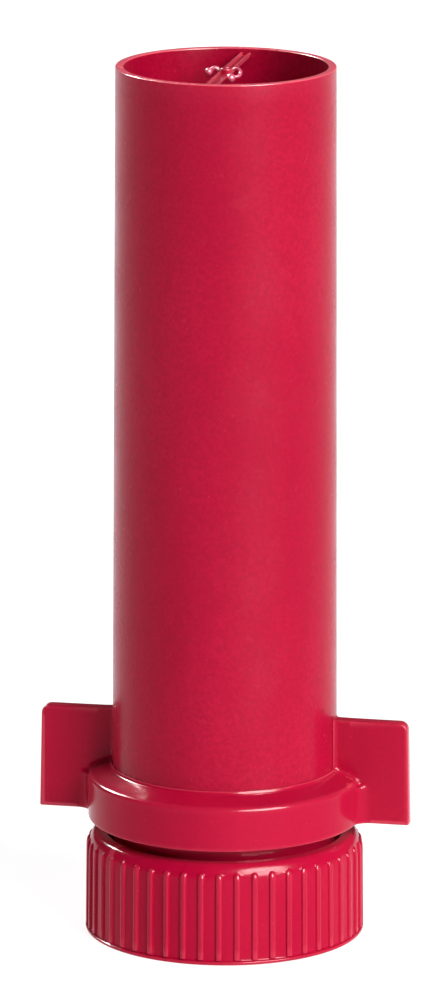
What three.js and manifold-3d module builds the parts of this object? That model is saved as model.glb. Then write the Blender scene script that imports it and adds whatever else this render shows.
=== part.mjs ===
// Moulded plastic storage tube: a drafted barrel in a winged collar, with a ribbed screw cap under it.
// Millimetres, +Z up. The origin is the centre of the cap's underside, and the two wings lie on X.

import * as THREE from 'three';
import { ParametricGeometry } from 'three/addons/geometries/ParametricGeometry.js';
import { mergeVertices } from 'three/addons/utils/BufferGeometryUtils.js';
import Module from 'manifold-3d';

const wasm = await Module();
wasm.setup();

// Driving dimensions
const TOTAL_HEIGHT = 218.4;
const AROUND = 64; // sides of every turned surface
const FIT = 0.3; // gap left between pieces that touch
const OVERCUT = 1; // how far a cutting solid reaches past what it cuts
const TURN = 2 * Math.PI;

// Barrel: the outside tapers towards the mouth, so that it leaves its mould
const MOUTH_RADIUS = 27.0;
const FOOT_RADIUS = 27.95; // at the collar's top
const BARREL_WALL = 2.0;
const LIP_ROUND = 0.5;

// Collar
const COLLAR_BASE = 28.9;
const COLLAR_RADIUS = 34.0;
const COLLAR_SHOULDER = 38.9; // top of the upright face
const COLLAR_TOP = 42.7; // where it meets the barrel
const COLLAR_LIP = 0.9; // height of the steeper lip at the cone's top
const LIP_BASE_RADIUS = 29.0;
const LIP_TOP_RADIUS = 28.5;
const SHOULDER_ROUND = 1.2;
const SHOULDER_ARC = [22, 68]; // degrees
const SOCKET_FLOOR = 31.5;
const NECK_BORE = 25.6;

// Wings
const WING_TOP = 55.1;
const WING_SPAN_TOP = 46.4;
const WING_SPAN_BASE = 46.9;
const WING_THICKNESS = 3.4;
const WING_CORNER = 2.2;
const WING_ROOT_SWEEP = 0.4;
const WING_EDGE_BREAK = 0.25;
const WING_FILLET = 4.0; // between a wing's faces and the collar's upright face

// Screw thread between the neck and the cap
const PITCH = 5.0;
const NECK_END = 4.6;
const NECK_RADIUS = 27.9;
const NECK_CHAMFER = 0.6;
const CAP_BORE = 29.6;
const THREAD_DEPTH = 1.2;
const THREAD_HALF_WIDTH = 1.25;
const MALE_START = 7.2; // height of the middle of the ridge at its first point
const MALE_TURNS = 2.75;
const FEMALE_TURNS = 2.5;
const RUN_OUT = 0.12; // turns over which a ridge grows to its full size
const THREAD_STEPS = 32; // steps in each turn of a ridge
const THREAD_SIDES = 6;

// Cap and its liner
const CAP_HEIGHT = 25.4;
const CAP_WALL_RADIUS = 34.0;
const CAP_DRAFT = 0.2; // the wall's base stands this much further out than its shoulder
const CAP_FLOOR = 2.6;
const CAP_BASE_ROUND = 0.5;
const CAP_BASE_RING = 0.9; // height of the plain ring below the ribs
const CAP_RING_SLOPE = 0.4;
const CAP_SHOULDER_START = 20.3;
const CAP_SHOULDER_REACH = 2.3;
const RIB_COUNT = 48;
const RIB_PHASE = THREE.MathUtils.degToRad(1.3);
const RIB_HEIGHT = 0.6;
const RIB_BASE_HALF = 0.9;
const RIB_CREST_HALF = 0.4;
const RECESS_DEPTH = 0.8;
const RECESS_RADIUS = 28.0;
const RECESS_DRAFT = 0.4;
const LINER_RADIUS = 29.0;
const LINER_THICKNESS = 1.4;

// Bar across the mouth, and the two curled hooks that hang from its hub
const BAR_TOP = TOTAL_HEIGHT - 0.8;
const BAR_DEPTH = 1.6;
const BAR_WIDTH = 2.0;
const HUB_RADIUS = 1.5;
const HUB_RISE = 0.3; // above the bar
const HUB_DEPTH = 2.6;
const HUB_SIDES = 24;
const HOOK_WIRE = 0.55;
const HOOK_SIDES = 3; // steps of each half of the wire's round section
const HOOK_STEPS = 8;
const BALL_SIDES = 10;

const COLOURS = { body: 0xc01235, cap: 0xb81032, hanger: 0xd8405c, liner: 0xe4e0d8 };

/** Radius of the barrel's outside at a height. */
function barrelRadius(z) {
  const share = (TOTAL_HEIGHT - z) / (TOTAL_HEIGHT - COLLAR_TOP);
  return MOUTH_RADIUS + (FOOT_RADIUS - MOUTH_RADIUS) * share;
}

/** A closed solid from a three.js geometry, with its shared vertices merged. */
function toSolid(geometry) {
  const bare = geometry.clone();
  bare.deleteAttribute('normal');
  bare.deleteAttribute('uv');
  const merged = mergeVertices(bare, 1e-4);
  return new wasm.Manifold(
    new wasm.Mesh({
      numProp: 3,
      vertProperties: Float32Array.from(merged.attributes.position.array),
      triVerts: Uint32Array.from(merged.index.array),
    }),
  );
}

/** A three.js geometry from a solid. */
function toGeometry(solid) {
  const mesh = solid.getMesh();
  const geometry = new THREE.BufferGeometry();
  geometry.setAttribute('position', new THREE.BufferAttribute(mesh.vertProperties, 3));
  geometry.setIndex(new THREE.BufferAttribute(mesh.triVerts, 1));
  geometry.computeVertexNormals();
  return geometry;
}

/** A turned solid about Z. The outline is a list of [radius, height], anticlockwise. */
function turned(outline) {
  const points = outline.map(([radius, height]) => new THREE.Vector2(radius, height));
  return toSolid(new THREE.LatheGeometry(points, AROUND).rotateX(Math.PI / 2));
}

/** Points of an arc about [radius, height], from one angle to another in degrees. */
function arc(radius, height, size, from, to, steps) {
  return Array.from({ length: steps + 1 }, (_, i) => {
    const angle = THREE.MathUtils.degToRad(from + ((to - from) * i) / steps);
    return [radius + size * Math.cos(angle), height + size * Math.sin(angle)];
  });
}

/**
 * A helical ridge of right-hand pitch. Its section is an ellipse with a flat crest, and it runs out to
 * nothing at both ends. `depth` is positive for a ridge that stands outwards.
 */
function threadRidge(radius, depth, startHeight, turns, startTurn) {
  const crestPhase = Math.PI / THREAD_SIDES;
  const point = (u, v, target) => {
    const along = u * turns;
    const size = Math.min(1, along / RUN_OUT, (turns - along) / RUN_OUT);
    const around = Math.sign(depth) * v * TURN + crestPhase;
    const reach = radius + (size * depth * Math.cos(around)) / Math.cos(crestPhase);
    const angle = (startTurn + along) * TURN;
    const rise = size * THREAD_HALF_WIDTH * Math.sin(around);
    target.set(reach * Math.cos(angle), reach * Math.sin(angle), startHeight + along * PITCH + rise);
  };
  return toSolid(new ParametricGeometry(point, Math.round(turns * THREAD_STEPS), THREAD_SIDES));
}

/** The barrel: a plain drafted tube with a softened lip, whose foot sits in the collar. */
function barrel() {
  const foot = SOCKET_FLOOR + FIT;
  const rimOut = MOUTH_RADIUS - LIP_ROUND;
  const rimIn = MOUTH_RADIUS - BARREL_WALL + LIP_ROUND;
  const rimHeight = TOTAL_HEIGHT - LIP_ROUND;
  return turned([
    [barrelRadius(foot) - BARREL_WALL, foot],
    [barrelRadius(foot), foot],
    ...arc(rimOut, rimHeight, LIP_ROUND, 0, 90, 2),
    ...arc(rimIn, rimHeight, LIP_ROUND, 90, 180, 2),
    [barrelRadius(foot) - BARREL_WALL, foot],
  ]);
}

/** One wing, as a flat plate whose outline is in the XZ plane. */
function wing() {
  const root = barrelRadius(WING_TOP) - 1;
  const sweepStart = barrelRadius(WING_TOP) + FIT;
  const outline = new THREE.Shape();
  outline.moveTo(root, COLLAR_BASE);
  outline.lineTo(WING_SPAN_BASE, COLLAR_BASE);
  outline.lineTo(WING_SPAN_TOP, WING_TOP - WING_CORNER);
  outline.absarc(WING_SPAN_TOP - WING_CORNER, WING_TOP - WING_CORNER, WING_CORNER, 0, Math.PI / 2);
  outline.lineTo(sweepStart + WING_ROOT_SWEEP, WING_TOP);
  outline.absarc(
    sweepStart + WING_ROOT_SWEEP, WING_TOP + WING_ROOT_SWEEP, WING_ROOT_SWEEP,
    -Math.PI / 2, -Math.PI, true,
  );
  outline.lineTo(root, WING_TOP + WING_ROOT_SWEEP);
  const plate = new THREE.ExtrudeGeometry(outline, {
    depth: WING_THICKNESS - 2 * WING_EDGE_BREAK,
    bevelThickness: WING_EDGE_BREAK,
    bevelSize: WING_EDGE_BREAK,
    bevelOffset: -WING_EDGE_BREAK,
    bevelSegments: 1,
    curveSegments: 5,
  });
  plate.translate(0, 0, WING_EDGE_BREAK - WING_THICKNESS / 2);
  return toSolid(plate.rotateX(Math.PI / 2));
}

/** The right wing's two concave fillets, with the wing's root between them, as an upright prism. */
function wingFillets() {
  const half = WING_THICKNESS / 2;
  const centreY = half + WING_FILLET;
  const centreX = Math.sqrt((COLLAR_RADIUS + WING_FILLET) ** 2 - centreY ** 2);
  const leave = Math.atan2(centreY, centreX); // where a fillet leaves the collar
  const inside = NECK_RADIUS;
  const outline = new THREE.Shape();
  outline.moveTo(inside, -COLLAR_RADIUS * Math.sin(leave));
  outline.absarc(centreX, -centreY, WING_FILLET, Math.PI - leave, Math.PI / 2, true);
  outline.absarc(centreX, centreY, WING_FILLET, -Math.PI / 2, leave - Math.PI, true);
  outline.lineTo(inside, COLLAR_RADIUS * Math.sin(leave));
  const prism = new THREE.ExtrudeGeometry(outline, {
    depth: COLLAR_SHOULDER - COLLAR_BASE,
    bevelEnabled: false,
    curveSegments: 3,
  });
  return toSolid(prism.translate(0, 0, COLLAR_BASE));
}

/** The collar: socket, coned top, upright face, two wings and the threaded neck, as one moulding. */
function wingedCollar() {
  const shell = turned([
    [NECK_BORE, NECK_END],
    [NECK_RADIUS - NECK_CHAMFER, NECK_END],
    [NECK_RADIUS, NECK_END + NECK_CHAMFER],
    [NECK_RADIUS, COLLAR_BASE],
    [COLLAR_RADIUS, COLLAR_BASE],
    [COLLAR_RADIUS, COLLAR_SHOULDER],
    ...arc(COLLAR_RADIUS - SHOULDER_ROUND, COLLAR_SHOULDER, SHOULDER_ROUND, ...SHOULDER_ARC, 2),
    [LIP_BASE_RADIUS, COLLAR_TOP - COLLAR_LIP],
    [LIP_TOP_RADIUS, COLLAR_TOP],
    [NECK_BORE, COLLAR_TOP],
    [NECK_BORE, NECK_END],
  ]);
  const rightWing = wing().add(wingFillets());
  const leftWing = rightWing.rotate([0, 0, 180]);
  const clearTop = WING_TOP + WING_ROOT_SWEEP + OVERCUT;
  const socket = turned([
    [0, SOCKET_FLOOR],
    [barrelRadius(SOCKET_FLOOR) + FIT, SOCKET_FLOOR],
    [barrelRadius(clearTop) + FIT, clearTop],
    [0, clearTop],
  ]);
  const thread = threadRidge(NECK_RADIUS, THREAD_DEPTH, MALE_START, MALE_TURNS, 0);
  return shell.add(rightWing).add(leftWing).subtract(socket).add(thread);
}

const SHOULDER_ROWS = [
  // [degrees round the cap's shoulder, share of the rib's height]
  [0, 1],
  [18, 1],
  [28, 0.8],
  [36, 0],
  [60, 0],
  [90, 0],
];

/** The cap's outside from base to top, as rows of [height, wall radius, share of the rib's height]. */
function capRows() {
  const base = CAP_WALL_RADIUS + CAP_DRAFT;
  const ring = base + RIB_HEIGHT;
  const shoulder = SHOULDER_ROWS.map(([degrees, share]) => {
    const angle = THREE.MathUtils.degToRad(degrees);
    const height = CAP_SHOULDER_START + (CAP_HEIGHT - CAP_SHOULDER_START) * Math.sin(angle);
    return [height, CAP_WALL_RADIUS - CAP_SHOULDER_REACH * (1 - Math.cos(angle)), share];
  });
  return [
    [0, 0, 0],
    [0, ring - CAP_BASE_ROUND, 0],
    [CAP_BASE_ROUND, ring, 0],
    [CAP_BASE_RING, ring, 0],
    [CAP_BASE_RING + CAP_RING_SLOPE, base, 1],
    ...shoulder,
    [CAP_HEIGHT, 0, 0],
  ];
}

const RIB_OUTLINE = [
  // [distance along the wall, share of the rib's height]
  [-RIB_BASE_HALF, 0],
  [-RIB_CREST_HALF, 1],
  [RIB_CREST_HALF, 1],
  [RIB_BASE_HALF, 0],
];

/** The cap's ribbed outside, as a solid block. */
function capBlock() {
  const rows = capRows();
  const perRib = RIB_OUTLINE.length;
  const last = rows.length - 1;
  const point = (u, v, target) => {
    const step = Math.round(u * RIB_COUNT * perRib);
    const [offset, crest] = RIB_OUTLINE[step % perRib];
    const [height, wall, share] = rows[Math.round(v * last)];
    const middle = RIB_PHASE + (Math.floor(step / perRib) / RIB_COUNT) * TURN;
    const angle = middle + offset / CAP_WALL_RADIUS;
    const reach = wall + RIB_HEIGHT * crest * share;
    target.set(reach * Math.cos(angle), reach * Math.sin(angle), height);
  };
  return toSolid(new ParametricGeometry(point, RIB_COUNT * perRib, last));
}

/** The screw cap: ribbed shell, closed floor with a shallow recess under it, and an inside thread. */
function screwCap() {
  const cavity = turned([
    [0, CAP_FLOOR],
    [CAP_BORE, CAP_FLOOR],
    [CAP_BORE, CAP_HEIGHT + OVERCUT],
    [0, CAP_HEIGHT + OVERCUT],
  ]);
  const recess = turned([
    [0, -OVERCUT],
    [RECESS_RADIUS + RECESS_DRAFT, -OVERCUT],
    [RECESS_RADIUS, RECESS_DEPTH],
    [0, RECESS_DEPTH],
  ]);
  const start = MALE_START + PITCH / 2;
  const thread = threadRidge(CAP_BORE, -THREAD_DEPTH, start, FEMALE_TURNS, 0);
  return capBlock().subtract(cavity).subtract(recess).add(thread);
}

/** The liner: a loose foam disc on the cap's floor, which the neck's end presses on. */
function capLiner() {
  const base = CAP_FLOOR + FIT;
  return turned([
    [0, base],
    [LINER_RADIUS, base],
    [LINER_RADIUS, base + LINER_THICKNESS],
    [0, base + LINER_THICKNESS],
  ]);
}

/** The bar across the mouth, along Y, with a round hub at its middle. */
function mouthBar() {
  const inside = MOUTH_RADIUS - BARREL_WALL;
  const length = 2 * (inside - FIT);
  const bar = new THREE.BoxGeometry(BAR_WIDTH, length, BAR_DEPTH).translate(0, 0, -BAR_DEPTH / 2);
  const hub = new THREE.CylinderGeometry(HUB_RADIUS, HUB_RADIUS, HUB_DEPTH, HUB_SIDES);
  hub.rotateX(Math.PI / 2).translate(0, 0, HUB_RISE - HUB_DEPTH / 2);
  const reach = turned([
    [0, -BAR_DEPTH - OVERCUT],
    [inside - FIT, -BAR_DEPTH - OVERCUT],
    [inside - FIT, OVERCUT],
    [0, OVERCUT],
  ]);
  return toSolid(bar).intersect(reach).add(toSolid(hub));
}

/** A curled hook in the XZ plane: a bent wire through the given [x, z] points, with a ball end. */
function hook(points, ballRadius) {
  const path = new THREE.CatmullRomCurve3(points.map(([x, z]) => new THREE.Vector3(x, 0, z)));
  const section = new THREE.Shape();
  section.absarc(0, 0, HOOK_WIRE, 0, TURN);
  const wire = new THREE.ExtrudeGeometry(section, {
    steps: HOOK_STEPS,
    curveSegments: HOOK_SIDES,
    extrudePath: path,
  });
  const end = path.getPoint(1);
  const ball = new THREE.SphereGeometry(ballRadius, BALL_SIDES, BALL_SIDES - 4);
  ball.translate(end.x, end.y, end.z);
  return toSolid(wire).add(toSolid(ball));
}

// Hooks start beside the hub and hang below the bar's top. Points are [x, z] from the bar's top.
const HUB_SIDE = HUB_RADIUS + FIT + 0.1;
const LEFT_HOOK = [[-HUB_SIDE, -1.0], [-2.3, 0.1], [-3.3, 0.0], [-4.2, -1.8]];
const RIGHT_HOOK = [[HUB_SIDE, -1.0], [2.6, -0.1], [3.7, -0.7], [4.1, -2.0], [3.5, -3.3], [2.5, -3.7]];

/** A named mesh of a solid, in a moulded plastic or foam finish. */
function piece(name, solid, color, roughness) {
  const material = new THREE.MeshStandardMaterial({ color, roughness, metalness: 0 });
  const mesh = new THREE.Mesh(toGeometry(solid), material);
  mesh.name = name;
  return mesh;
}

const hanger = new THREE.Group();
hanger.position.z = BAR_TOP;
hanger.add(
  piece('mouth_bar', mouthBar(), COLOURS.hanger, 0.35),
  piece('hook_left', hook(LEFT_HOOK, 1.0), COLOURS.hanger, 0.3),
  piece('hook_right', hook(RIGHT_HOOK, 1.1), COLOURS.hanger, 0.3),
);

const tube = new THREE.Group();
tube.add(
  piece('tube_barrel', barrel(), COLOURS.body, 0.55),
  piece('winged_collar', wingedCollar(), COLOURS.body, 0.4),
  hanger,
);

const closure = new THREE.Group();
closure.add(
  piece('screw_cap', screwCap(), COLOURS.cap, 0.35),
  piece('cap_liner', capLiner(), COLOURS.liner, 0.9),
);

const object = new THREE.Group();
object.add(tube, closure);

export default object;
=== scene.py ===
"""The drawing tube's visible pieces, their looks and the studio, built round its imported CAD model.

Sizes of shapes are in millimetres, and become metres when a mesh is made. An outline is a list of
(radius, height) points about the tube's axis. Every piece stands for one CAD node.
"""

import math

import bmesh
import bpy
import numpy as np
from mathutils import Matrix, Vector


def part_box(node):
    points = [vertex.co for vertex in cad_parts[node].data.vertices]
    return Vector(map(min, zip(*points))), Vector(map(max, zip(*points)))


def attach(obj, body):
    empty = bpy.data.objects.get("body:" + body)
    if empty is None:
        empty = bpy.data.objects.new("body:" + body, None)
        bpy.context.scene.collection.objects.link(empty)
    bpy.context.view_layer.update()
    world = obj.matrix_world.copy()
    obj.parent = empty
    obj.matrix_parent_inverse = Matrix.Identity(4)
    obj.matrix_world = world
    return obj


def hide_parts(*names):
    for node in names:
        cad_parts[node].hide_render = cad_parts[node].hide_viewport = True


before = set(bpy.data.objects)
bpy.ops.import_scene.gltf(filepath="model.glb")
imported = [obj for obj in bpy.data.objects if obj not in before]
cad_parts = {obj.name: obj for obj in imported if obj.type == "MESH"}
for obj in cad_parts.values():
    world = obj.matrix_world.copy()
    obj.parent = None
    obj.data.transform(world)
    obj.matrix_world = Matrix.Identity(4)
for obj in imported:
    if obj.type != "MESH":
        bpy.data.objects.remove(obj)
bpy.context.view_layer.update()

MM = 0.001
TURN = 2 * math.pi
TINY = 1e-6


def node_box(node):
    """Lowest and highest corner of a CAD node, in millimetres."""
    low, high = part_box(node)
    return low / MM, high / MM


barrel_low, barrel_high = node_box("tube_barrel")
collar_low, collar_high = node_box("winged_collar")
liner_low, liner_high = node_box("cap_liner")
cap_high = node_box("screw_cap")[1]
bar_high = node_box("mouth_bar")[1]

# Barrel
RIM = barrel_high.z
FOOT = barrel_low.z
MOUTH_RADIUS = 27.0
FOOT_RADIUS = barrel_high.x
WALL = 2.0
LIP_OUTER = 0.28  # roundings of the mouth's outer and inner edge
LIP_INNER = 0.3
LIP_DEPTH = 3.0  # from the rim to where the inner wall starts to widen
RIM_HIGHLIGHT_DEPTH = 0.25  # how far down the painted highlight on the rim's top reaches

# Collar
COLLAR_BASE = 28.9
COLLAR_RADIUS = collar_high.y
COLLAR_SHOULDER = 38.9
COLLAR_TOP = 42.7
SHOULDER_ROUND = 1.3
FACE_ROUND = 0.35  # rounding of the upright face's lower edge
CONE_START = (32.4, 40.35)
CONE_END = (29.4, 41.62)
SOCKET_FLOOR = FOOT - 0.1
SOCKET_PLAY = 0.12  # between the barrel's foot and the socket's wall

# Neck
NECK_END = collar_low.z
NECK_BORE = 25.6
NECK_RADIUS = 27.9
NECK_THREAD_TOP = 23.0  # end of the wall that the thread stands on
NECK_FILLET = 0.7

# Wings
WING_TOP = 55.1
WING_SPAN_TOP = collar_high.x - 0.5
WING_SPAN_BASE = collar_high.x
WING_ROOT = 30.5  # where a wing ends, hidden inside the collar
WING_THICKNESS = 3.4
WING_CORNER = 2.2
WING_FOOT_CUT = 0.3  # takes the point off the sharp lower corner
WING_SWEEP = collar_high.z - WING_TOP
WING_EDGE = 0.45
WING_FLARE = 1.2  # fillet radius beside the cone and the barrel
WING_FILLET = 4.0  # fillet radius beside the collar's upright face
FILLET_TOP = COLLAR_SHOULDER + 0.5
FILLET_FADE = 1.4  # height over which the upright face's fillet dies away
WING_OFFSET = 0.02  # keeps a wing's faces out of the collar's own planes
CONTOUR_MARGIN = 5.0  # how far the contour beside a wing runs past the collar

# Thread
PITCH = 5.0
THREAD_DEPTH = 1.2
THREAD_BASE_HALF = 1.2
THREAD_CREST_HALF = 0.45
MALE_START = 7.2
MALE_TURNS = 2.75
FEMALE_TURNS = 2.5
RUN_OUT = 0.12  # share of a turn in which a thread's end rises

# Cap
CAP_TOP = cap_high.z
CAP_FLOOR = liner_low.z - 0.3
CAP_BORE = 29.6
CAP_WALL = 34.0
CAP_THREAD_BASE = 7.5
CAP_THREAD_TOP = 23.5
CAP_MOUTH_ROUND = 0.4
CAP_CORNER = 0.5  # rounding between the bore and the floor
RECESS_DEPTH = 0.8  # the recess in the underside
RECESS_RADIUS = 27.4
RECESS_ROUND = 0.4
RIBS = 48
RIB_PITCH = TURN / RIBS
RIB_HEIGHT = 0.6
RIB_HALF = 0.88
RIB_END = 23.3
RIB_ROUND = 1.3  # length of a rib's rounded top end
RIB_PHASE = math.radians(1.3)
CAP_DRAFT = cap_high.x - RIB_HEIGHT - CAP_WALL
BASE_RING = 0.9  # height of the plain ring below the ribs
BASE_ROUND = 0.45
RING_ROUND = 0.25  # rounding of the ring's upper edge
SHOULDER_START = 20.3
SHOULDER_REACH = 2.3

# Liner
LINER_ROUND = 0.3
LINER_DENT = 0.12  # depth of the ring that the neck's end presses in

# Bar and hooks. A hook's points are measured from the bar's top, at the hub.
BAR_TOP = bar_high.z - 0.3
BAR_REACH = bar_high.y + 0.25
WEB_WIDTH = 2.0
WEB_THICKNESS = 0.5
WEB_DROP = 1.25  # from the bar's top to the middle of the web
EDGE_RADIUS = 0.36  # the raised edges are round rods
EDGE_OUT = 1.02
EDGE_DROP = 0.6
HUB_HEIGHT = 2.6
HUB_TOP_ROUND = 0.45
HUB_FOOT_ROUND = 0.3
LEFT_BALL = 0.95  # radii of a hook's ball and wire
LEFT_WIRE = 0.5
LEFT_HOOK = [(-1.7, 0.2, -0.9), (-2.1, 0.2, -0.1), (-2.9, 0.0, 0.15), (-3.6, -0.2, -0.3)]
RIGHT_BALL = 1.1
RIGHT_WIRE = 0.4
RIGHT_HOOK = [
    (1.5, 0.4, -0.8), (2.0, 0.4, -0.1), (3.0, 0.1, 0.1), (3.8, -0.8, -0.5),
    (3.7, -2.0, -1.2), (2.7, -2.9, -1.4),
]

COLUMNS = 192  # round each turned piece, other than the ribbed cap and the hub
SHARP_ANGLE = 32  # degrees between faces from which an edge is shaded as crisp

# Looks
CRIMSON = (0.41, 0.0008, 0.029)
# The hooks' colour is the crimson painted paler and pinker, as painted highlight on their small roundings.
HOOK_PINK = (0.68, 0.08, 0.15)
SHEEN = 0.045
FLOOR_SIZE = 12  # metres
FLOOR_GAP = 0.0001  # metres below the cap, so that no two faces lie in one plane


def arc(radius, height, size, start, end, steps):
    """Points of an arc about (radius, height), from one angle to another in degrees."""
    angles = np.radians(np.linspace(start, end, steps + 1))
    return [(radius + size * math.cos(a), height + size * math.sin(a)) for a in angles]


def straight(start, end, steps):
    """Points along a line, without its last one."""
    shares = np.linspace(0, 1, steps + 1)[:-1]
    return [(start[0] + (end[0] - start[0]) * s, start[1] + (end[1] - start[1]) * s) for s in shares]


def with_relief(points, relief):
    """The same outline points, marked as raised by a function of angle and height."""
    return [(r, z, relief) for r, z in points]


def in_scene(name, data):
    """A new object for a mesh, a light or a camera, linked to the scene."""
    made = bpy.data.objects.new(name, data)
    bpy.context.scene.collection.objects.link(made)
    return made


def from_faces(name, verts, faces):
    """A mesh object from vertices in millimetres."""
    mesh = bpy.data.meshes.new(name)
    mesh.from_pydata([tuple(c * MM for c in v) for v in verts], [], faces)
    mesh.validate()
    return in_scene(name, mesh)


def from_bmesh(name, bm):
    """A mesh object from a bmesh in millimetres, which is freed."""
    bmesh.ops.scale(bm, verts=bm.verts, vec=(MM, MM, MM))
    mesh = bpy.data.meshes.new(name)
    bm.to_mesh(mesh)
    bm.free()
    return in_scene(name, mesh)


def turned(name, outline, angles):
    """A turned mesh.

    The outline runs anticlockwise, and closes on itself or starts and ends on the axis. A point may have a
    third value: a function of the angles and the height that gives the relief there.
    """
    verts, rings, faces = [], [], []
    count = len(angles)
    for point in outline:
        radius, height = point[0], point[1]
        first = len(verts)
        if radius < TINY:
            verts.append((0.0, 0.0, height))
            rings.append([first] * count)
            continue
        reach = np.full(count, float(radius))
        if len(point) == 3:
            reach = reach + point[2](angles, height)
        verts += [(r * math.cos(a), r * math.sin(a), height) for r, a in zip(reach, angles)]
        rings.append(list(range(first, first + count)))
    on_axis = outline[0][0] < TINY
    pairs = list(zip(rings, rings[1:])) + ([] if on_axis else [(rings[-1], rings[0])])
    for lower, upper in pairs:
        for i in range(count):
            j = (i + 1) % count
            corners = [lower[i], lower[j], upper[j], upper[i]]
            faces.append(tuple(dict.fromkeys(corners)))
    return from_faces(name, verts, faces)


def even_angles(count=COLUMNS):
    """Angles of evenly spaced columns round the axis."""
    return np.arange(count) * TURN / count


def ease(x):
    """Smooth step from 0 to 1."""
    x = np.clip(x, 0, 1)
    return x * x * (3 - 2 * x)


def thread_relief(start, turns, depth):
    """Height of a right-hand thread ridge over its wall, by angle and height."""
    def relief(angles, height):
        share = angles / TURN
        turn = np.round((height - start) / PITCH - share)
        along = share + turn
        off = np.abs(height - start - along * PITCH)
        grown = ease(along / RUN_OUT) * ease((turns - along) / RUN_OUT)
        flank = (THREAD_BASE_HALF - off) / (THREAD_BASE_HALF - THREAD_CREST_HALF)
        return depth * ease(flank) * grown
    return relief


def unite(piece, others):
    """Joins the other closed meshes into the piece, and deletes them."""
    for other in others:
        join = piece.modifiers.new("join", "BOOLEAN")
        join.operation = "UNION"
        join.solver = "EXACT"
        join.object = other
    bpy.context.view_layer.update()
    graph = bpy.context.evaluated_depsgraph_get()
    united = bpy.data.meshes.new_from_object(piece.evaluated_get(graph))
    piece.modifiers.clear()
    piece.data = united
    for other in others:
        bpy.data.objects.remove(other)


# --- Shapes --------------------------------------------------------------------------------------


def barrel_radius(height):
    """Outside radius of the drafted barrel."""
    share = (RIM - height) / (RIM - FOOT)
    return MOUTH_RADIUS + (FOOT_RADIUS - MOUTH_RADIUS) * share


def barrel():
    """The drafted barrel, open at both ends, with rounded lips at its mouth."""
    inner_foot = (barrel_radius(FOOT) - WALL, FOOT)
    outline = [
        *straight((barrel_radius(FOOT), FOOT), (MOUTH_RADIUS, RIM - LIP_OUTER), 36),
        *arc(MOUTH_RADIUS - LIP_OUTER, RIM - LIP_OUTER, LIP_OUTER, 0, 90, 6),
        *arc(MOUTH_RADIUS - WALL + LIP_INNER, RIM - LIP_INNER, LIP_INNER, 90, 180, 7),
        *straight((MOUTH_RADIUS - WALL, RIM - LIP_DEPTH), inner_foot, 24),
        inner_foot,
    ]
    return turned("barrel", outline, even_angles())


def contour_distance(x, z):
    """How far a point in the XZ plane is from the outline of the collar and the barrel."""
    above = collar_high.z + CONTOUR_MARGIN
    corners = [
        (COLLAR_RADIUS, COLLAR_BASE - CONTOUR_MARGIN),
        (COLLAR_RADIUS, COLLAR_SHOULDER),
        # The rounded shoulder and the cone, in a few straight lines.
        (COLLAR_RADIUS - 0.35, COLLAR_SHOULDER + 0.85),
        (COLLAR_RADIUS - 0.9, COLLAR_SHOULDER + 1.2),
        (29.0, COLLAR_TOP - 0.9),
        (barrel_radius(COLLAR_TOP), COLLAR_TOP),
        (barrel_radius(above), above),
    ]
    best = math.inf
    for (ax, az), (bx, bz) in zip(corners, corners[1:]):
        dx, dz = bx - ax, bz - az
        t = max(0.0, min(1.0, ((x - ax) * dx + (z - az) * dz) / (dx * dx + dz * dz)))
        best = min(best, math.hypot(x - ax - t * dx, z - az - t * dz))
    return best


def inside_contour(x, z):
    """True where a point lies inside the collar's or the barrel's outline."""
    if z > COLLAR_TOP:
        return x < barrel_radius(z)
    if z > COLLAR_SHOULDER:
        share = (z - COLLAR_SHOULDER) / (COLLAR_TOP - COLLAR_SHOULDER)
        return x < COLLAR_RADIUS + (barrel_radius(COLLAR_TOP) - COLLAR_RADIUS) * share
    return x < COLLAR_RADIUS


def collar_fillet(x):
    """Extra half thickness beside the collar's upright face: an arc in plan, tangent to wing and collar."""
    side = WING_THICKNESS / 2 + WING_FILLET
    reach = COLLAR_RADIUS + WING_FILLET
    middle = math.sqrt(reach ** 2 - side ** 2)
    off = min(max(middle - x, 0.0), middle * WING_FILLET / reach)
    return WING_FILLET - math.sqrt(WING_FILLET ** 2 - off ** 2)


def flare(x, z):
    """Extra half thickness of a wing where it runs into the collar or the barrel."""
    low = collar_fillet(x) * float(ease((FILLET_TOP - z) / FILLET_FADE))
    if inside_contour(x, z):
        return max(low, WING_FLARE)
    out = min(contour_distance(x, z), WING_FLARE)
    return max(low, WING_FLARE - math.sqrt(WING_FLARE ** 2 - (WING_FLARE - out) ** 2))


def wing_outline():
    """Outline of the right wing in the XZ plane, as (x, z) points."""
    root = barrel_radius(WING_TOP) + WING_OFFSET
    base = COLLAR_BASE + WING_OFFSET
    corner = (WING_SPAN_TOP - WING_CORNER, WING_TOP - WING_CORNER)
    sweep = (root + WING_SWEEP, WING_TOP + WING_SWEEP)
    return [
        (WING_ROOT, base),
        (WING_SPAN_BASE - WING_FOOT_CUT, base),
        (WING_SPAN_BASE, base + WING_FOOT_CUT),
        *arc(*corner, WING_CORNER, 0, 90, 10),
        *arc(*sweep, WING_SWEEP, 270, 183, 10),
        (root, WING_TOP + WING_SWEEP),
        (root + 0.1, COLLAR_TOP),
        (WING_ROOT, COLLAR_TOP - 2.6),
    ]


def slice_across(bm, direction, places):
    """Cuts a mesh at each place along a direction, so that its flat faces get vertices of their own."""
    for place in places:
        everything = list(bm.verts) + list(bm.edges) + list(bm.faces)
        bmesh.ops.bisect_plane(bm, geom=everything, plane_co=Vector(direction) * place, plane_no=direction)


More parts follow.
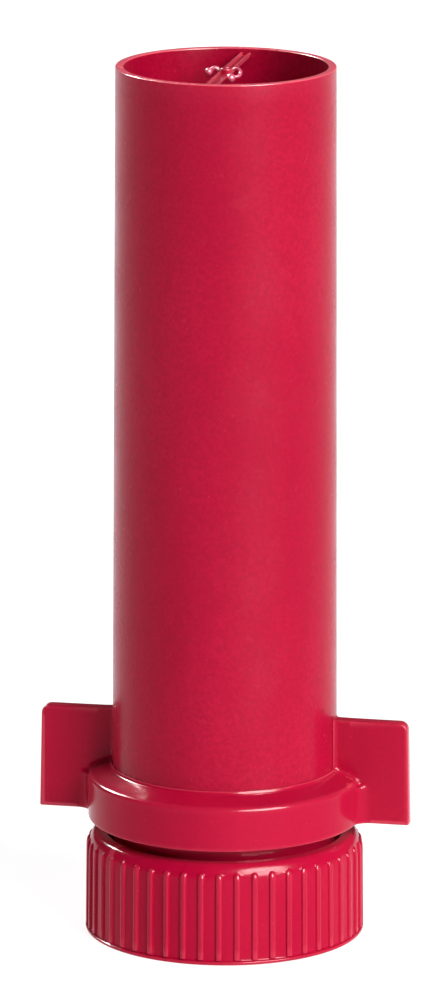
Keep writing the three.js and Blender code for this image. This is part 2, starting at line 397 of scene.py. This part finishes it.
def wing(side):
    """One wing: a flat plate with softened edges, which flares into the collar and the barrel."""
    half = WING_THICKNESS / 2
    bm = bmesh.new()
    plate = bm.faces.new([bm.verts.new((x, -half, z)) for x, z in wing_outline()])
    grown = bmesh.ops.extrude_face_region(bm, geom=[plate])["geom"]
    far = [g for g in grown if isinstance(g, bmesh.types.BMVert)]
    bmesh.ops.translate(bm, verts=far, vec=(0, WING_THICKNESS, 0))
    bmesh.ops.recalc_face_normals(bm, faces=bm.faces)
    outer = [
        e for e in bm.edges
        if abs(e.verts[0].co.y - e.verts[1].co.y) < TINY
        and max(v.co.x for v in e.verts) > WING_ROOT + 0.5
    ]
    bmesh.ops.bevel(bm, geom=outer, offset=WING_EDGE, segments=3, profile=0.5, affect="EDGES")
    # Cuts lie close together where the wing flares, and further apart beyond.
    fine, coarse = 0.2, 1.0
    columns = np.concatenate([np.arange(28.2, 38.4, fine), (40.0, 42.0, 44.0, WING_SPAN_TOP - 1)])
    rows = np.concatenate([
        np.arange(38, 46, fine),
        np.arange(30, 38, coarse),
        np.arange(46, 57, coarse),
    ])
    slice_across(bm, (1, 0, 0), columns.tolist())
    slice_across(bm, (0, 0, 1), rows.tolist())
    for v in bm.verts:
        v.co.y *= 1 + flare(v.co.x, v.co.z) / half
    if side < 0:
        half_turn = Matrix.Rotation(math.pi, 3, "Z")
        bmesh.ops.rotate(bm, verts=bm.verts, cent=(0, 0, 0), matrix=half_turn)
    return from_bmesh("wing", bm)


def winged_collar():
    """Threaded neck, coned collar and two wings, as one closed mesh."""
    male = thread_relief(MALE_START, MALE_TURNS, THREAD_DEPTH)
    socket = barrel_radius(COLLAR_TOP) + SOCKET_PLAY
    socket_foot = (barrel_radius(SOCKET_FLOOR) + SOCKET_PLAY, SOCKET_FLOOR)
    thread_top = (NECK_RADIUS, NECK_THREAD_TOP)
    fillet_foot = COLLAR_BASE - NECK_FILLET
    bore_foot = (NECK_BORE, NECK_END + 0.3)
    outline = [
        (NECK_BORE + 0.3, NECK_END),
        (NECK_RADIUS - 0.5, NECK_END),
        (NECK_RADIUS - 0.15, NECK_END + 0.15),
        *with_relief(straight((NECK_RADIUS, NECK_END + 0.5), thread_top, 72), male),
        *straight(thread_top, (NECK_RADIUS, fillet_foot), 6),
        *arc(NECK_RADIUS + NECK_FILLET, fillet_foot, NECK_FILLET, 180, 90, 4),
        *arc(COLLAR_RADIUS - FACE_ROUND, COLLAR_BASE + FACE_ROUND, FACE_ROUND, 270, 360, 4),
        *straight((COLLAR_RADIUS, COLLAR_BASE + 1), (COLLAR_RADIUS, COLLAR_SHOULDER), 8),
        *arc(COLLAR_RADIUS - SHOULDER_ROUND, COLLAR_SHOULDER, SHOULDER_ROUND, 0, 66, 7),
        *straight(CONE_START, CONE_END, 5),
        # A small concave fillet leads up to the lip beside the seam.
        (29.1, 41.75),
        (28.85, 41.85),
        *arc(28.95, 42.35, 0.45, 255, 190, 3),
        (28.42, COLLAR_TOP - 0.12),
        (28.3, COLLAR_TOP),
        # The socket that holds the barrel's foot.
        (socket + 0.1, COLLAR_TOP),
        (socket, COLLAR_TOP - 0.15),
        *straight((socket, COLLAR_TOP - 1), socket_foot, 6),
        socket_foot,
        (NECK_BORE, SOCKET_FLOOR),
        *straight((NECK_BORE, SOCKET_FLOOR - 1), bore_foot, 10),
        bore_foot,
    ]
    piece = turned("collar", outline, even_angles())
    unite(piece, [wing(1), wing(-1)])
    return piece


def rib_angles():
    """Columns round the cap: close together on each rib, and wide apart on the flats."""
    on_rib = np.linspace(-1, 1, 9) * RIB_HALF / CAP_WALL
    on_flat = np.array([0.42, 0.58]) * RIB_PITCH
    one = np.concatenate([on_rib, on_flat])
    return RIB_PHASE + (np.arange(RIBS)[:, None] * RIB_PITCH + one[None, :]).ravel()


def rib_relief(angles, height):
    """Half-round ribs with rounded top ends."""
    turned_off = (angles - RIB_PHASE + RIB_PITCH / 2) % RIB_PITCH - RIB_PITCH / 2
    off = np.abs(turned_off) * CAP_WALL / RIB_HALF
    past = np.clip((height - RIB_END + RIB_ROUND) / RIB_ROUND, 0, 1)
    return RIB_HEIGHT * np.sqrt(np.clip(1 - off ** 2 - past ** 2, 0, 1))


def screw_cap():
    """Ribbed shell with a rounded shoulder, a recessed floor and an inside thread."""
    female = thread_relief(MALE_START + PITCH / 2, FEMALE_TURNS, -THREAD_DEPTH)
    base = CAP_WALL + CAP_DRAFT
    ring = base + RIB_HEIGHT
    rise = CAP_TOP - SHOULDER_START
    shoulder = [
        (CAP_WALL - SHOULDER_REACH * (1 - math.cos(a)), SHOULDER_START + rise * math.sin(a))
        for a in np.radians(np.linspace(0, 86, 30))
    ]
    wall = straight((base, BASE_RING + 0.45), (CAP_WALL, SHOULDER_START), 14)
    mouth = (CAP_BORE + CAP_MOUTH_ROUND, CAP_TOP - CAP_MOUTH_ROUND)
    thread_top = (CAP_BORE, CAP_THREAD_TOP)
    thread_base = (CAP_BORE, CAP_THREAD_BASE)
    corner = (CAP_BORE - CAP_CORNER, CAP_FLOOR + CAP_CORNER)
    outline = [
        (0.0, RECESS_DEPTH),
        (1.6, RECESS_DEPTH),
        (RECESS_RADIUS, RECESS_DEPTH),
        *arc(RECESS_RADIUS, RECESS_DEPTH - RECESS_ROUND, RECESS_ROUND, 90, 20, 3),
        (RECESS_RADIUS + 0.6, 0.08),
        (RECESS_RADIUS + 0.9, 0.0),
        (ring - BASE_ROUND - 0.1, 0.0),
        *arc(ring - BASE_ROUND, BASE_ROUND, BASE_ROUND, 280, 360, 5),
        *arc(ring - RING_ROUND, BASE_RING - RING_ROUND, RING_ROUND, 0, 75, 3),
        (base + 0.18, BASE_RING + 0.05),
        (base + 0.05, BASE_RING + 0.2),
        *with_relief(wall + shoulder, rib_relief),
        (CAP_WALL - SHOULDER_REACH, CAP_TOP),
        (CAP_BORE + 0.45, CAP_TOP),
        *arc(*mouth, CAP_MOUTH_ROUND, 100, 180, 4),
        *straight((CAP_BORE, CAP_TOP - 0.6), thread_top, 3),
        *with_relief(straight(thread_top, thread_base, 60), female),
        *straight(thread_base, (CAP_BORE, CAP_FLOOR + CAP_CORNER), 4),
        *arc(*corner, CAP_CORNER, 0, -90, 4),
        (20.0, CAP_FLOOR),
        (10.0, CAP_FLOOR),
        (0.0, CAP_FLOOR),
    ]
    return turned("cap", outline, rib_angles())


def cap_liner():
    """Foam disc with softened edges and a ring pressed into it by the neck's end."""
    low, high = liner_low.z, liner_high.z
    edge = liner_high.x - LINER_ROUND
    outline = [
        (0.0, low),
        (edge, low),
        *arc(edge, low + LINER_ROUND, LINER_ROUND, 290, 360, 3),
        *arc(edge, high - LINER_ROUND, LINER_ROUND, 0, 90, 4),
        (NECK_RADIUS + 0.4, high),
        (NECK_RADIUS + 0.1, high - LINER_DENT),
        (NECK_BORE, high - LINER_DENT),
        (NECK_BORE - 0.3, high),
        (12.0, high),
        (0.0, high),
    ]
    return turned("liner", outline, even_angles())


def swept(name, points, sizes, sides):
    """A round rod through the points, with the given radius at each."""
    points = [Vector(p) for p in points]
    verts, faces = [], []
    normal = None
    for i, point in enumerate(points):
        tangent = (points[min(i + 1, len(points) - 1)] - points[max(i - 1, 0)]).normalized()
        if normal is None:
            normal = tangent.orthogonal().normalized()
        normal = (normal - tangent * normal.dot(tangent)).normalized()
        across = tangent.cross(normal)
        for k in range(sides):
            a = TURN * k / sides
            verts.append(point + sizes[i] * (normal * math.cos(a) + across * math.sin(a)))
    for i in range(len(points) - 1):
        for k in range(sides):
            j = (k + 1) % sides
            faces.append((i * sides + k, i * sides + j, (i + 1) * sides + j, (i + 1) * sides + k))
    last = (len(points) - 1) * sides
    faces.append(tuple(reversed(range(sides))))
    faces.append(tuple(range(last, last + sides)))
    return from_faces(name, verts, faces)


def curve_through(points, steps):
    """A smooth curve through the points, with a number of short steps between each two (Catmull-Rom)."""
    p = [Vector(points[0]) * 2 - Vector(points[1]), *map(Vector, points)]
    p.append(Vector(points[-1]) * 2 - Vector(points[-2]))
    made = []
    for a, b, c, d in zip(p, p[1:], p[2:], p[3:]):
        for i in range(steps):
            t = i / steps
            slope = (c - a) * t
            bend = (2 * a - 5 * b + 4 * c - d) * t * t
            twist = (3 * b - a - 3 * c + d) * t ** 3
            made.append(0.5 * (2 * b + slope + bend + twist))
    made.append(Vector(points[-1]))
    return made


def hook(name, points, wire, ball):
    """A bent wire, slightly thinner at its root, that ends in a ball."""
    path = curve_through([(x, y, z + BAR_TOP) for x, y, z in points], 7)
    sizes = [wire * (0.85 + 0.15 * min(1.0, i / 4)) for i in range(len(path))]
    heading = (path[-1] - path[-2]).normalized()
    start = math.asin(wire / ball)
    centre = path[-1] + heading * ball * math.cos(start)
    for a in np.linspace(start, math.pi - 0.12, 10):
        path.append(centre - heading * ball * math.cos(a))
        sizes.append(ball * math.sin(a))
    return swept(name, path, sizes, 16)


def rod(name, start, end, size):
    """A straight round rod between two points."""
    path = [Vector(start).lerp(Vector(end), i / 12) for i in range(13)]
    return swept(name, path, [size] * len(path), 12)


def bar_web():
    """The thin flat web of the bar, with enough vertices for its shading."""
    inset = 1.0  # of the outermost cuts from the web's ends
    bm = bmesh.new()
    bmesh.ops.create_cube(bm, size=1)
    bmesh.ops.scale(bm, vec=(WEB_WIDTH, 2 * BAR_REACH, WEB_THICKNESS), verts=bm.verts)
    bmesh.ops.translate(bm, vec=(0, 0, BAR_TOP - WEB_DROP), verts=bm.verts)
    slice_across(bm, (1, 0, 0), (-0.7, -0.4, 0.4, 0.7))
    slice_across(bm, (0, 1, 0), np.linspace(-BAR_REACH + inset, BAR_REACH - inset, 25).tolist())
    return from_bmesh("crossbar", bm)


def hub():
    """Round hub with a dimple in its top."""
    top = bar_high.z
    foot = top - HUB_HEIGHT
    outline = [
        (0.0, foot),
        (1.1, foot),
        *arc(1.2, foot + HUB_FOOT_ROUND, HUB_FOOT_ROUND, 270, 360, 3),
        *arc(1.05, top - HUB_TOP_ROUND, HUB_TOP_ROUND, 0, 90, 5),
        (0.6, top - 0.05),
        (0.3, top - 0.3),
        (0.0, top - 0.35),
    ]
    return turned("hub", outline, even_angles(32))


def mouth_bar():
    """Channel-shaped bar across the mouth. The right edge runs only from the hub to the back."""
    height = BAR_TOP - EDGE_DROP
    left = [(-EDGE_OUT, y, height) for y in (-BAR_REACH, BAR_REACH)]
    right = [(EDGE_OUT, y, height) for y in (0.0, BAR_REACH)]
    piece = bar_web()
    unite(piece, [
        rod("left_edge_rod", *left, EDGE_RADIUS),
        rod("right_edge_rod", *right, EDGE_RADIUS),
        hub(),
    ])
    return piece


# --- Materials -----------------------------------------------------------------------------------


class Nodes:
    """Short calls for building one node material."""

    def __init__(self, name):
        self.material = bpy.data.materials.new(name)
        self.material.use_nodes = True
        self.tree = self.material.node_tree
        self.shader = self.tree.nodes["Principled BSDF"]
        self.place = self.add("ShaderNodeTexCoord").outputs["Object"]

    def add(self, kind, **values):
        node = self.tree.nodes.new(kind)
        for key, value in values.items():
            setattr(node, key, value)
        return node

    def link(self, a, b):
        self.tree.links.new(a, b)

    def noise(self, scale, detail=2.0, roughness=0.5, stretch=(1, 1, 1)):
        spread = self.add("ShaderNodeMapping")
        spread.inputs["Scale"].default_value = stretch
        self.link(self.place, spread.inputs["Vector"])
        node = self.add("ShaderNodeTexNoise")
        node.inputs["Scale"].default_value = scale
        node.inputs["Detail"].default_value = detail
        node.inputs["Roughness"].default_value = roughness
        self.link(spread.outputs["Vector"], node.inputs["Vector"])
        return node.outputs["Fac"]

    def span(self, value, low, high, new_low, new_high):
        node = self.add("ShaderNodeMapRange")
        self.link(value, node.inputs["Value"])
        keys = ("From Min", "From Max", "To Min", "To Max")
        for key, number in zip(keys, (low, high, new_low, new_high)):
            node.inputs[key].default_value = number
        return node.outputs["Result"]

    def mix(self, share, a, b):
        node = self.add("ShaderNodeMix", data_type="RGBA")
        self.link(share, node.inputs["Factor"])
        for socket, value in ((node.inputs["A"], a), (node.inputs["B"], b)):
            if isinstance(value, tuple):
                socket.default_value = (*value, 1)
            else:
                self.link(value, socket)
        return node.outputs["Result"]

    def maths(self, operation, a, b):
        node = self.add("ShaderNodeMath", operation=operation)
        self.link(a, node.inputs[0])
        self.link(b, node.inputs[1])
        return node.outputs["Value"]

    def bump(self, height, distance, strength, normal=None):
        node = self.add("ShaderNodeBump")
        node.inputs["Distance"].default_value = distance
        node.inputs["Strength"].default_value = strength
        self.link(height, node.inputs["Height"])
        if normal is not None:
            self.link(normal, node.inputs["Normal"])
        return node.outputs["Normal"]


def moulded_plastic(name, colour, roughness, gloss, grain, painted_edge_highlight, rim=None):
    """Pigmented moulded plastic: flow marks, fine grain, specks, and edges that are glossier and painted
    paler as a highlight.

    With a rim, a height in metres, everything above it is painted as pale as an edge can be, as a
    highlight. Noise scales are in cells a metre, and bump distances in metres.
    """
    n = Nodes(name)
    deep = tuple(c * 0.9 for c in colour)
    pale = tuple(c * 1.08 + 0.004 for c in colour)
    flow = n.noise(38, 3, 0.55, (1, 1, 0.35))
    tone = n.mix(n.span(flow, 0.3, 0.7, 0, 1), deep, pale)
    mottle = n.span(n.noise(1000, 2, 0.6), 0.38, 0.62, 0, grain)
    tone = n.mix(mottle, tone, tuple(c * 0.7 for c in colour))
    speck = n.span(n.noise(1500, 1, 0.5), 0.72, 0.82, 0, 0.35)
    tone = n.mix(speck, tone, tuple(min(1.0, c * 1.5 + 0.05) for c in colour))
    pointiness = n.add("ShaderNodeNewGeometry").outputs["Pointiness"]
    # Mask of the painted highlight on convex edges, and on the rim's top where a rim is given.
    edge = n.span(pointiness, 0.505, 0.56, 0, painted_edge_highlight)
    if rim is not None:
        split = n.add("ShaderNodeSeparateXYZ")
        n.link(n.place, split.inputs[0])
        edge = n.maths("MAXIMUM", edge, n.span(split.outputs["Z"], rim, rim + 0.0001, 0, 1))
    # The painted highlight: a paler copy of the colour, laid on edges and on the rim's top.
    tone = n.mix(edge, tone, tuple(min(1.0, c * 1.9 + 0.1) for c in colour))
    n.link(tone, n.shader.inputs["Base Color"])
    scuff = n.span(n.noise(320, 4, 0.6), 0.5, 0.8, 0, 0.05)
    cloud = n.span(n.noise(70, 3), 0.3, 0.7, roughness - 0.05, roughness + 0.05)
    n.link(n.maths("ADD", cloud, scuff), n.shader.inputs["Roughness"])
    waves = n.bump(n.noise(55, 2), 0.0006, 0.10)
    fine = n.bump(n.noise(2600, 2, 0.6), 0.00006, grain, waves)
    n.link(fine, n.shader.inputs["Normal"])
    n.shader.inputs["IOR"].default_value = 1.5
    n.link(n.span(edge, 0, 1, gloss, gloss + 0.4), n.shader.inputs["Specular IOR Level"])
    n.shader.inputs["Sheen Weight"].default_value = SHEEN
    n.shader.inputs["Sheen Roughness"].default_value = 0.35
    return n.material


def foam(name):
    """Off-white closed-cell foam."""
    n = Nodes(name)
    cells = n.add("ShaderNodeTexVoronoi")
    cells.inputs["Scale"].default_value = 1800
    n.link(n.place, cells.inputs["Vector"])
    tone = n.mix(n.span(n.noise(90, 3), 0.3, 0.7, 0, 1), (0.70, 0.68, 0.63), (0.80, 0.78, 0.73))
    n.link(tone, n.shader.inputs["Base Color"])
    n.link(n.span(n.noise(300, 2), 0.3, 0.7, 0.8, 0.95), n.shader.inputs["Roughness"])
    n.link(n.bump(cells.outputs["Distance"], 0.0002, 0.5), n.shader.inputs["Normal"])
    return n.material


def floor_finish():
    """Plain white studio floor that glows, as a light table does."""
    n = Nodes("studio_floor")
    n.link(n.mix(n.noise(2, 2), (0.24, 0.24, 0.24), (0.26, 0.26, 0.26)), n.shader.inputs["Base Color"])
    n.shader.inputs["Roughness"].default_value = 0.8
    n.shader.inputs["Specular IOR Level"].default_value = 0.1
    n.shader.inputs["Emission Color"].default_value = (1, 1, 1, 1)
    n.shader.inputs["Emission Strength"].default_value = 0.83
    return n.material


# Each plastic gets a painted highlight on its edges, and the barrel also on its rim's top.
barrel_plastic = moulded_plastic(
    "barrel_plastic", CRIMSON, roughness=0.24, gloss=0.09, grain=0.5, painted_edge_highlight=0.4, rim=(RIM - RIM_HIGHLIGHT_DEPTH) * MM,
)
collar_plastic = moulded_plastic(
    "collar_plastic", CRIMSON, roughness=0.17, gloss=0.085, grain=0.15, painted_edge_highlight=0.3,
)
cap_plastic = moulded_plastic(
    "cap_plastic", CRIMSON, roughness=0.15, gloss=0.07, grain=0.12, painted_edge_highlight=0.3,
)
bar_plastic = moulded_plastic(
    "bar_finish", CRIMSON, roughness=0.2, gloss=0.15, grain=0.1, painted_edge_highlight=0.6,
)
hanger_plastic = moulded_plastic(
    "hanger_plastic", HOOK_PINK, roughness=0.3, gloss=0.4, grain=0.05, painted_edge_highlight=0.3,
)
liner_foam = foam("liner_foam")


# --- Pieces on their bodies ----------------------------------------------------------------------


def put(piece, node, body, material):
    """Gives a piece its shading, finish and body, and lets it stand for its CAD node."""
    piece.data.shade_smooth()
    piece.data.set_sharp_from_angle(angle=math.radians(SHARP_ANGLE))
    piece.data.materials.clear()
    piece.data.materials.append(material)
    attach(piece, body)
    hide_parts(node)


put(barrel(), "tube_barrel", "tube", barrel_plastic)
put(winged_collar(), "winged_collar", "tube", collar_plastic)
put(screw_cap(), "screw_cap", "cap", cap_plastic)
put(cap_liner(), "cap_liner", "liner", liner_foam)
put(mouth_bar(), "mouth_bar", "tube", bar_plastic)
left_curl = hook("left_curl", LEFT_HOOK, LEFT_WIRE, LEFT_BALL)
put(left_curl, "hook_left", "tube", hanger_plastic)
right_curl = hook("right_curl", RIGHT_HOOK, RIGHT_WIRE, RIGHT_BALL)
put(right_curl, "hook_right", "tube", hanger_plastic)


# --- Studio --------------------------------------------------------------------------------------


def floor():
    """A plain floor just under the cap. It follows the cap's slide, so the object always stands on it."""
    bpy.ops.mesh.primitive_plane_add(size=FLOOR_SIZE, location=(0, 0, -FLOOR_GAP))
    made = bpy.context.active_object
    made.name = "studio_floor"
    made.data.materials.append(floor_finish())
    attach(made, "liner")


def outward(azimuth, elevation):
    """Direction from the object, in degrees. The azimuth runs from the front (-Y) to the right (+X)."""
    a, e = math.radians(azimuth), math.radians(elevation)
    return Vector((math.sin(a) * math.cos(e), -math.cos(a) * math.cos(e), math.sin(e)))


def soft_light(name, azimuth, elevation, spread, strength, seen_by):
    """A wide round light far off, which only lights surfaces ("matt") or is only mirrored ("gloss")."""
    light = bpy.data.lights.new(name, "SUN")
    light.angle = math.radians(spread)
    light.energy = strength
    made = in_scene(name, light)
    made.rotation_euler = outward(azimuth, elevation).to_track_quat("Z", "Y").to_euler()
    made.visible_glossy = seen_by == "gloss"
    made.visible_diffuse = seen_by == "matt"


def camera():
    """The camera, placed by its angles about the tube and its distance in metres from where it looks."""
    azimuth, elevation, roll = 11.1, 13.655, 0.1
    distance, look_height, aside = 1.7585, 0.10953, -0.00053
    back = outward(azimuth, elevation)
    right = outward(azimuth + 90, 0)
    data = bpy.data.cameras.new("camera")
    data.sensor_width = 36
    data.lens = 256.15
    data.clip_start, data.clip_end = 0.05, 50
    made = in_scene("camera", data)
    made.location = Vector((0, 0, look_height)) + back * distance + right * aside
    level = (-back).to_track_quat("-Z", "Y").to_matrix().to_4x4()
    made.rotation_euler = (level @ Matrix.Rotation(math.radians(roll), 4, "Z")).to_euler()
    bpy.context.scene.camera = made


def surroundings():
    """A room that is dim low down in front, and lighter overhead and behind the object."""
    world = bpy.data.worlds.new("studio")
    world.use_nodes = True
    tree = world.node_tree
    place = tree.nodes.new("ShaderNodeTexCoord")
    split = tree.nodes.new("ShaderNodeSeparateXYZ")
    tree.links.new(place.outputs["Generated"], split.inputs[0])

    def growth(axis, start, end, low, high):
        """Light that rises from low to high as the view's direction turns along an axis."""
        node = tree.nodes.new("ShaderNodeMapRange")
        node.interpolation_type = "SMOOTHSTEP"
        for key, value in (("From Min", start), ("From Max", end), ("To Min", low), ("To Max", high)):
            node.inputs[key].default_value = value
        tree.links.new(split.outputs[axis], node.inputs["Value"])
        return node.outputs["Result"]

    total = tree.nodes.new("ShaderNodeMath")
    total.operation = "ADD"
    overhead = growth("Z", start=0.15, end=1.0, low=0.05, high=0.75)
    behind = growth("Y", start=0.15, end=0.75, low=0.0, high=0.8)
    tree.links.new(overhead, total.inputs[0])
    tree.links.new(behind, total.inputs[1])
    tree.links.new(total.outputs["Value"], tree.nodes["Background"].inputs["Strength"])
    bpy.context.scene.world = world


floor()
surroundings()
soft_light("key", azimuth=52, elevation=32, spread=36, strength=3.9, seen_by="matt")
soft_light("key_glow", azimuth=46, elevation=25, spread=38, strength=21.0, seen_by="gloss")
soft_light("back_fill", azimuth=175, elevation=30, spread=40, strength=1.2, seen_by="matt")
soft_light("left_edge", azimuth=-106, elevation=34, spread=18, strength=1.0, seen_by="matt")
soft_light("left_glint", azimuth=-127, elevation=36, spread=17, strength=10.0, seen_by="gloss")
camera()
bpy.context.scene.view_settings.view_transform = "Standard"
